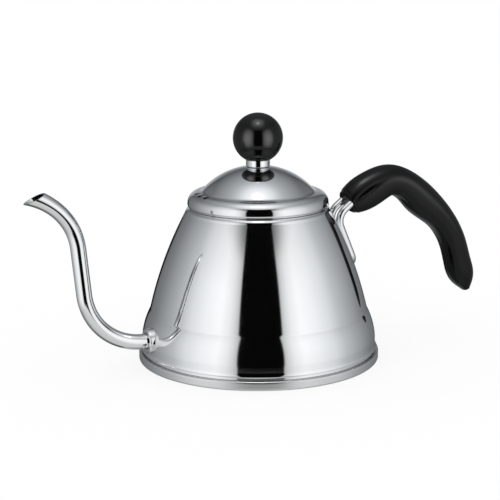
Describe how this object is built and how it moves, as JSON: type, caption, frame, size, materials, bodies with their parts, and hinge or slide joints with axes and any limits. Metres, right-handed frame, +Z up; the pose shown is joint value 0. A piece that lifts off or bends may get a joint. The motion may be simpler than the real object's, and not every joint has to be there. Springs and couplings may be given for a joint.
{
  "type": "gooseneck kettle",
  "caption": "Stove-top pour-over kettle: polished conical shell with beaded base, thin gooseneck spout, rod-mounted black grip and lift-off domed lid with ball knob.",
  "frame": {"origin": "centre of the flat bottom, on the axis of the shell and lid, where the kettle stands", "axes": "+Z up along the shell's axis, the spout points along -X and the grip along +X, so the XZ plane is the plane of symmetry"},
  "size_m": [0.3021, 0.15, 0.1528],
  "materials": {
    "polished_steel": "mirror-polished stainless steel",
    "spout_steel": "polished stainless tube",
    "bracket_steel": "polished stainless rod",
    "inner_steel": "satin stainless steel, unpolished",
    "black_phenolic": "moulded black phenolic, semi-gloss",
    "knob_phenolic": "moulded black phenolic, polished",
    "plated_chrome": "bright chrome plate",
    "brass": "turned brass",
    "screw_steel": "plain steel screw"
  },
  "bodies": {
    "vessel": {"body_shell": "polished_steel", "base_pan": "polished_steel", "spout_tube": "spout_steel", "spout_collar": "spout_steel", "handle_bracket": "bracket_steel", "handle_grip": "black_phenolic"},
    "lid": {"lid_dome": "polished_steel", "lid_skirt": "inner_steel", "knob_ball": "knob_phenolic", "knob_insert": "brass", "knob_collar": "plated_chrome", "knob_screw": "screw_steel", "knob_washer": "screw_steel"}
  },
  "joints": [
    {"name": "lid_lift", "type": "slide", "parent": "vessel", "child": "lid", "axis": [0, 0, 1], "range_m": [0, 0.06]}
  ]
}
